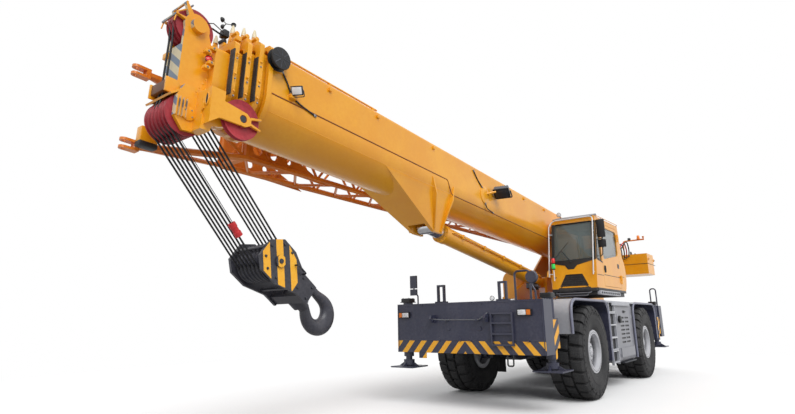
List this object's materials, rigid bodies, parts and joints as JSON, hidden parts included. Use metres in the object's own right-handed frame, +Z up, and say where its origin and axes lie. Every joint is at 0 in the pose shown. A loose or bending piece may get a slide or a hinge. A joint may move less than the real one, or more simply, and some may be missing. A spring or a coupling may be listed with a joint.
{
  "type": "rough-terrain mobile crane",
  "caption": "Two-axle rough-terrain mobile crane with a telescopic boom, slewing cab, hook block, stowed lattice jib and sliding outriggers.",
  "frame": {"origin": "on the ground under the middle of the whole crane as parked, slewing axis behind it", "axes": "+X forward along the carrier and the boom, +Y to the side of the cab, +Z up"},
  "size_m": [16.0781, 3.404, 5.0719],
  "materials": {
    "painted_metal_1": "satin",
    "painted_metal_2": "satin",
    "gloss_plastic_1": "satin",
    "cast_iron_1": "satin",
    "painted_metal_3": "satin",
    "cast_iron_2": "satin",
    "glass_1": "satin",
    "fabric_1": "satin",
    "matte_plastic_1": "satin",
    "painted_metal_4": "satin",
    "matte_plastic_2": "satin",
    "chrome_1": "satin",
    "brushed_steel_1": "satin",
    "cast_iron_3": "satin",
    "cast_iron_4": "satin",
    "tyre_1": "satin",
    "painted_metal_5": "satin"
  },
  "bodies": {
    "carrier": {"carrier_frame": "painted_metal_1", "outrigger_boxes": "painted_metal_1", "fender_decks": "painted_metal_2", "side_tanks": "painted_metal_2", "access_ladders": "painted_metal_2", "deck_rails": "painted_metal_1", "carrier_lamps": "gloss_plastic_1", "engine_block": "cast_iron_1", "engine_hood": "painted_metal_1", "axles": "painted_metal_1", "tie_eyes": "painted_metal_1"},
    "turntable": {"turntable_frame": "painted_metal_3", "hydraulic_tank": "painted_metal_3", "counterweight": "cast_iron_2", "winches": "painted_metal_1", "cab_floor": "painted_metal_1", "cab_front": "painted_metal_3", "cab_rear": "painted_metal_3", "cab_inner_wall": "painted_metal_3", "cab_outer_frame": "painted_metal_3", "cab_roof": "painted_metal_3", "cab_glass": "glass_1", "operator_seat": "fabric_1", "control_console": "matte_plastic_1"},
    "door": {"cab_door": "painted_metal_3", "door_glass": "glass_1"},
    "boom": {"boom_base": "painted_metal_3", "lattice_jib": "painted_metal_4"},
    "section_2": {"boom_section_2": "painted_metal_3"},
    "section_3": {"boom_section_3": "painted_metal_3"},
    "section_4": {"boom_section_4": "painted_metal_3"},
    "head": {"boom_head": "painted_metal_3", "head_sheaves": "matte_plastic_2"},
    "barrel": {"lift_barrel": "painted_metal_3"},
    "rod": {"lift_rod": "chrome_1"},
    "falls": {"rope_falls": "brushed_steel_1"},
    "block": {"hook_block": "painted_metal_1"},
    "hook": {"hook": "cast_iron_3"},
    "knuckle_fl": {"knuckle_fl": "cast_iron_4"},
    "wheel_fl": {"tyre_fl": "tyre_1", "rim_fl": "painted_metal_5"},
    "beam_fl": {"outrigger_beam_fl": "painted_metal_1"},
    "jack_fl": {"outrigger_jack_fl": "painted_metal_1"},
    "knuckle_fr": {"knuckle_fr": "cast_iron_4"},
    "wheel_fr": {"tyre_fr": "tyre_1", "rim_fr": "painted_metal_5"},
    "beam_fr": {"outrigger_beam_fr": "painted_metal_1"},
    "jack_fr": {"outrigger_jack_fr": "painted_metal_1"},
    "knuckle_rl": {"knuckle_rl": "cast_iron_4"},
    "wheel_rl": {"tyre_rl": "tyre_1", "rim_rl": "painted_metal_5"},
    "beam_rl": {"outrigger_beam_rl": "painted_metal_1"},
    "jack_rl": {"outrigger_jack_rl": "painted_metal_1"},
    "knuckle_rr": {"knuckle_rr": "cast_iron_4"},
    "wheel_rr": {"tyre_rr": "tyre_1", "rim_rr": "painted_metal_5"},
    "beam_rr": {"outrigger_beam_rr": "painted_metal_1"},
    "jack_rr": {"outrigger_jack_rr": "painted_metal_1"}
  },
  "joints": [
    {"name": "steer_fl", "type": "hinge", "parent": "carrier", "child": "knuckle_fl", "pos_m": [-0.58714, 0.89, 0.93], "axis": [0, 0, 1], "range_deg": [-25, 25]},
    {"name": "spin_fl", "type": "hinge", "parent": "knuckle_fl", "child": "wheel_fl", "pos_m": [-0.58714, 1.28, 0.93], "axis": [0, 1, 0], "continuous": true},
    {"name": "outrigger_fl", "type": "slide", "parent": "carrier", "child": "beam_fl", "axis": [0, 1, 0], "range_m": [0, 2]},
    {"name": "jack_fl", "type": "slide", "parent": "beam_fl", "child": "jack_fl", "axis": [0, 0, -1], "range_m": [0, 0.685]},
    {"name": "steer_fr", "type": "hinge", "parent": "carrier", "child": "knuckle_fr", "pos_m": [-0.58714, -0.89, 0.93], "axis": [0, 0, 1], "range_deg": [-25, 25]},
    {"name": "spin_fr", "type": "hinge", "parent": "knuckle_fr", "child": "wheel_fr", "pos_m": [-0.58714, -1.28, 0.93], "axis": [0, 1, 0], "continuous": true},
    {"name": "outrigger_fr", "type": "slide", "parent": "carrier", "child": "beam_fr", "axis": [0, -1, 0], "range_m": [0, 2]},
    {"name": "jack_fr", "type": "slide", "parent": "beam_fr", "child": "jack_fr", "axis": [0, 0, -1], "range_m": [0, 0.685]},
    {"name": "steer_rl", "type": "hinge", "parent": "carrier", "child": "knuckle_rl", "pos_m": [-5.20714, 0.89, 0.93], "axis": [0, 0, 1], "range_deg": [-25, 25]},
    {"name": "spin_rl", "type": "hinge", "parent": "knuckle_rl", "child": "wheel_rl", "pos_m": [-5.20714, 1.28, 0.93], "axis": [0, 1, 0], "continuous": true},
    {"name": "outrigger_rl", "type": "slide", "parent": "carrier", "child": "beam_rl", "axis": [0, 1, 0], "range_m": [0, 2]},
    {"name": "jack_rl", "type": "slide", "parent": "beam_rl", "child": "jack_rl", "axis": [0, 0, -1], "range_m": [0, 0.685]},
    {"name": "steer_rr", "type": "hinge", "parent": "carrier", "child": "knuckle_rr", "pos_m": [-5.20714, -0.89, 0.93], "axis": [0, 0, 1], "range_deg": [-25, 25]},
    {"name": "spin_rr", "type": "hinge", "parent": "knuckle_rr", "child": "wheel_rr", "pos_m": [-5.20714, -1.28, 0.93], "axis": [0, 1, 0], "continuous": true},
    {"name": "outrigger_rr", "type": "slide", "parent": "carrier", "child": "beam_rr", "axis": [0, -1, 0], "range_m": [0, 2]},
    {"name": "jack_rr", "type": "slide", "parent": "beam_rr", "child": "jack_rr", "axis": [0, 0, -1], "range_m": [0, 0.685]},
    {"name": "slew", "type": "hinge", "parent": "carrier", "child": "turntable", "pos_m": [-3.08714, 0, 2], "axis": [0, 0, 1], "continuous": true},
    {"name": "luff", "type": "hinge", "parent": "turntable", "child": "boom", "pos_m": [-4.68714, 0, 3.55], "axis": [0, -1, 0], "range_deg": [-4.4, 76.6]},
    {"name": "lift_barrel", "type": "hinge", "parent": "turntable", "child": "barrel", "pos_m": [-2.08714, 0, 2.48], "axis": [0, -1, 0], "range_deg": [-4.89, 85.11]},
    {"name": "lift_rod", "type": "slide", "parent": "barrel", "child": "rod", "axis": [0.9897, 0, 0.1431], "range_m": [-0.19212, 3.34471]},
    {"name": "telescope_2", "type": "slide", "parent": "boom", "child": "section_2", "axis": [0.9982, 0, 0.0593], "range_m": [0, 8.6]},
    {"name": "telescope_3", "type": "slide", "parent": "section_2", "child": "section_3", "axis": [0.9982, 0, 0.0593], "range_m": [0, 8.6]},
    {"name": "telescope_4", "type": "slide", "parent": "section_3", "child": "section_4", "axis": [0.9982, 0, 0.0593], "range_m": [0, 8.6]},
    {"name": "telescope_5", "type": "slide", "parent": "section_4", "child": "head", "axis": [0.9982, 0, 0.0593], "range_m": [0, 8.6]},
    {"name": "hook_hang", "type": "hinge", "parent": "head", "child": "falls", "pos_m": [7.75419, 0, 3.72816], "axis": [0, -1, 0], "range_deg": [-29.3, 1.68]},
    {"name": "block_tilt", "type": "hinge", "parent": "falls", "child": "block", "pos_m": [6.51923, 0, 2.29744], "axis": [0, -1, 0], "range_deg": [-0.27, 4.7]},
    {"name": "hook_swivel", "type": "hinge", "parent": "block", "child": "hook", "pos_m": [5.9755, 0, 1.87264], "axis": [0.788, 0, 0.6157], "continuous": true},
    {"name": "door", "type": "hinge", "parent": "turntable", "child": "door", "pos_m": [-3.37114, 1.602, 2.3], "axis": [0, 0, 1], "range_deg": [0, 85]}
  ],
  "couplings": [
    {"joint": "steer_fr", "follows": "steer_fl", "ratio": 1},
    {"joint": "steer_rr", "follows": "steer_rl", "ratio": 1},
    {"joint": "lift_barrel", "follows": "luff", "ratio": 1.1111},
    {"joint": "lift_rod", "follows": "luff", "m_per_rad": 2.5018},
    {"joint": "telescope_3", "follows": "telescope_2", "ratio": 1},
    {"joint": "telescope_4", "follows": "telescope_2", "ratio": 1},
    {"joint": "telescope_5", "follows": "telescope_2", "ratio": 1},
    {"joint": "hook_hang", "follows": "luff", "ratio": -0.38251},
    {"joint": "block_tilt", "follows": "luff", "ratio": 0.061358}
  ]
}
